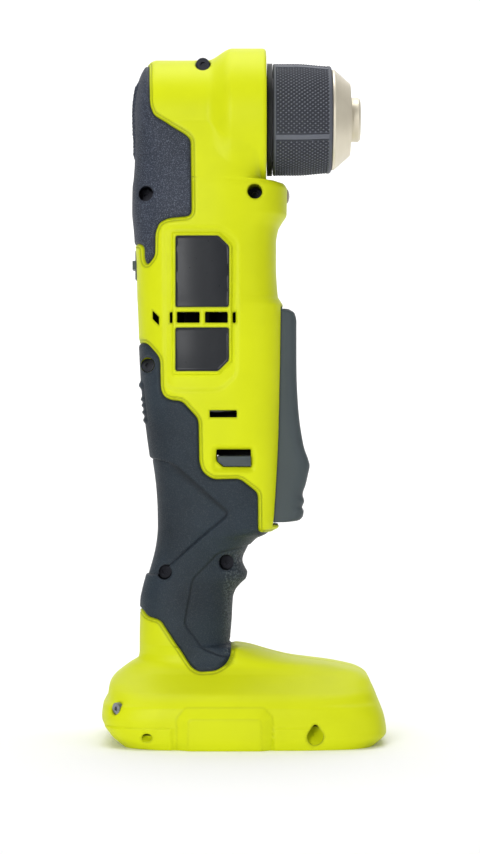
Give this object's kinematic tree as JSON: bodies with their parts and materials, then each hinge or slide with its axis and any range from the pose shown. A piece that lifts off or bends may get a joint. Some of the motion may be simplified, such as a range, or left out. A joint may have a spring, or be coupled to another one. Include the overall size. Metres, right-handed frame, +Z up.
{
  "type": "right angle drill",
  "caption": "Cordless right angle drill with an upright motor body, a keyless chuck set square to it, a long paddle trigger and a flat battery foot.",
  "frame": {"origin": "middle of the battery foot's outline, on the floor it stands on", "axes": "+X the way the chuck points, +Y to the tool's left side, +Z up along the motor"},
  "size_m": [0.1092, 0.078, 0.2683],
  "materials": {
    "lime_shell": "satin",
    "soft_grip": "matte",
    "label": "satin",
    "screw_steel": "satin",
    "lens": "gloss",
    "circuit_board": "satin",
    "black_plastic": "matte",
    "contact_brass": "satin",
    "dark_plastic": "satin",
    "cast_alloy": "matte",
    "bearing_steel": "polished",
    "lamination": "satin",
    "winding_copper": "gloss",
    "gear_steel": "satin",
    "chuck_steel": "satin"
  },
  "bodies": {
    "housing": {"right_housing": "lime_shell", "left_housing": "lime_shell", "right_head_grip": "soft_grip", "left_head_grip": "soft_grip", "right_handle_grip": "soft_grip", "left_handle_grip": "soft_grip", "label_plates": "label", "housing_screws": "screw_steel", "foot_screws": "screw_steel", "lamp_lens": "lens", "lamp_board": "circuit_board", "control_board": "circuit_board", "terminal_block": "black_plastic", "terminal_blades": "contact_brass", "trigger_switch": "black_plastic", "paddle_pin": "screw_steel", "paddle_spring": "screw_steel", "motor_end_plate": "cast_alloy", "motor_bearings": "bearing_steel", "stator_core": "lamination", "stator_coils": "winding_copper", "gearbox_back_plate": "cast_alloy", "gearbox_case": "cast_alloy", "fixed_ring_gear": "gear_steel", "gear_case": "cast_alloy", "pinion_bearing": "bearing_steel", "front_spindle_bearing": "bearing_steel", "back_spindle_bearing": "bearing_steel", "bearing_clip": "gear_steel"},
    "chuck": {"spindle": "gear_steel", "bevel_gear": "gear_steel", "chuck_body": "chuck_steel", "chuck_back_ring": "black_plastic", "chuck_nose": "chuck_steel", "chuck_screw": "gear_steel"},
    "sleeve": {"chuck_sleeve": "dark_plastic", "chuck_nut": "gear_steel"},
    "jaw_a": {"chuck_jaw_a": "chuck_steel"},
    "jaw_b": {"chuck_jaw_b": "chuck_steel"},
    "jaw_c": {"chuck_jaw_c": "chuck_steel"},
    "output": {"second_carrier": "gear_steel", "bevel_pinion": "gear_steel"},
    "middle_carrier": {"first_carrier": "gear_steel"},
    "rotor": {"rotor_core": "lamination", "motor_shaft": "gear_steel", "cooling_fan": "dark_plastic", "sun_pinion": "gear_steel"},
    "first_planet_a": {"first_planet_a": "gear_steel"},
    "first_planet_b": {"first_planet_b": "gear_steel"},
    "first_planet_c": {"first_planet_c": "gear_steel"},
    "second_planet_a": {"second_planet_a": "gear_steel"},
    "second_planet_b": {"second_planet_b": "gear_steel"},
    "second_planet_c": {"second_planet_c": "gear_steel"},
    "paddle": {"trigger_paddle": "dark_plastic"},
    "plunger": {"switch_plunger": "dark_plastic"},
    "direction_bar": {"direction_selector": "dark_plastic"},
    "speed_slide": {"speed_selector": "dark_plastic", "shift_ring": "gear_steel"}
  },
  "joints": [
    {"name": "chuck_spin", "type": "hinge", "parent": "housing", "child": "chuck", "pos_m": [0, 0, 0.2407], "axis": [1, 0, 0], "continuous": true},
    {"name": "sleeve_turn", "type": "hinge", "parent": "chuck", "child": "sleeve", "pos_m": [0, 0, 0.2407], "axis": [1, 0, 0], "range_deg": [0, 2160]},
    {"name": "output_spin", "type": "hinge", "parent": "housing", "child": "output", "pos_m": [-0.0145, 0, 0.2], "axis": [0, 0, 1], "continuous": true},
    {"name": "middle_spin", "type": "hinge", "parent": "housing", "child": "middle_carrier", "pos_m": [-0.0145, 0, 0.181], "axis": [0, 0, 1], "continuous": true},
    {"name": "motor_spin", "type": "hinge", "parent": "housing", "child": "rotor", "pos_m": [-0.0145, 0, 0.145], "axis": [0, 0, 1], "continuous": true},
    {"name": "jaw_a_slide", "type": "slide", "parent": "chuck", "child": "jaw_a", "axis": [0.9563, 0, 0.2924], "range_m": [0, 0.0175]},
    {"name": "jaw_b_slide", "type": "slide", "parent": "chuck", "child": "jaw_b", "axis": [0.9563, -0.2532, -0.1462], "range_m": [0, 0.0175]},
    {"name": "jaw_c_slide", "type": "slide", "parent": "chuck", "child": "jaw_c", "axis": [0.9563, 0.2532, -0.1462], "range_m": [0, 0.0175]},
    {"name": "first_planet_a_spin", "type": "hinge", "parent": "middle_carrier", "child": "first_planet_a", "pos_m": [-0.00505, 0, 0.175], "axis": [0, 0, 1], "continuous": true},
    {"name": "first_planet_b_spin", "type": "hinge", "parent": "middle_carrier", "child": "first_planet_b", "pos_m": [-0.01922, 0.00818, 0.175], "axis": [0, 0, 1], "continuous": true},
    {"name": "first_planet_c_spin", "type": "hinge", "parent": "middle_carrier", "child": "first_planet_c", "pos_m": [-0.01922, -0.00818, 0.175], "axis": [0, 0, 1], "continuous": true},
    {"name": "second_planet_a_spin", "type": "hinge", "parent": "output", "child": "second_planet_a", "pos_m": [-0.00505, 0, 0.188], "axis": [0, 0, 1], "continuous": true},
    {"name": "second_planet_b_spin", "type": "hinge", "parent": "output", "child": "second_planet_b", "pos_m": [-0.01922, 0.00818, 0.188], "axis": [0, 0, 1], "continuous": true},
    {"name": "second_planet_c_spin", "type": "hinge", "parent": "output", "child": "second_planet_c", "pos_m": [-0.01922, -0.00818, 0.188], "axis": [0, 0, 1], "continuous": true},
    {"name": "paddle_press", "type": "hinge", "parent": "housing", "child": "paddle", "pos_m": [0.0103, 0, 0.1626], "axis": [0, 1, 0], "range_deg": [0, 4.5], "stiffness_Nm_per_rad": 2, "springref_deg": -6.88, "deforming": ["paddle_spring"]},
    {"name": "plunger_slide", "type": "slide", "parent": "housing", "child": "plunger", "axis": [-1, 0, 0], "range_m": [0, 0.0053]},
    {"name": "direction_slide", "type": "slide", "parent": "housing", "child": "direction_bar", "axis": [0, 1, 0], "range_m": [-0.0025, 0.0025]},
    {"name": "speed_slide", "type": "slide", "parent": "housing", "child": "speed_slide", "axis": [0, 0, -1], "range_m": [0, 0.004]}
  ],
  "couplings": [
    {"joint": "middle_spin", "follows": "motor_spin", "ratio": 0.22222},
    {"joint": "output_spin", "follows": "motor_spin", "ratio": 0.049383},
    {"joint": "chuck_spin", "follows": "motor_spin", "ratio": -0.029181},
    {"joint": "jaw_a_slide", "follows": "sleeve_turn", "m_per_rad": 0.0004642},
    {"joint": "jaw_b_slide", "follows": "sleeve_turn", "m_per_rad": 0.0004642},
    {"joint": "jaw_c_slide", "follows": "sleeve_turn", "m_per_rad": 0.0004642},
    {"joint": "first_planet_a_spin", "follows": "motor_spin", "ratio": -0.62222},
    {"joint": "first_planet_b_spin", "follows": "motor_spin", "ratio": -0.62222},
    {"joint": "first_planet_c_spin", "follows": "motor_spin", "ratio": -0.62222},
    {"joint": "second_planet_a_spin", "follows": "motor_spin", "ratio": -0.13827},
    {"joint": "second_planet_b_spin", "follows": "motor_spin", "ratio": -0.13827},
    {"joint": "second_planet_c_spin", "follows": "motor_spin", "ratio": -0.13827},
    {"joint": "plunger_slide", "follows": "paddle_press", "m_per_rad": 0.0671}
  ]
}
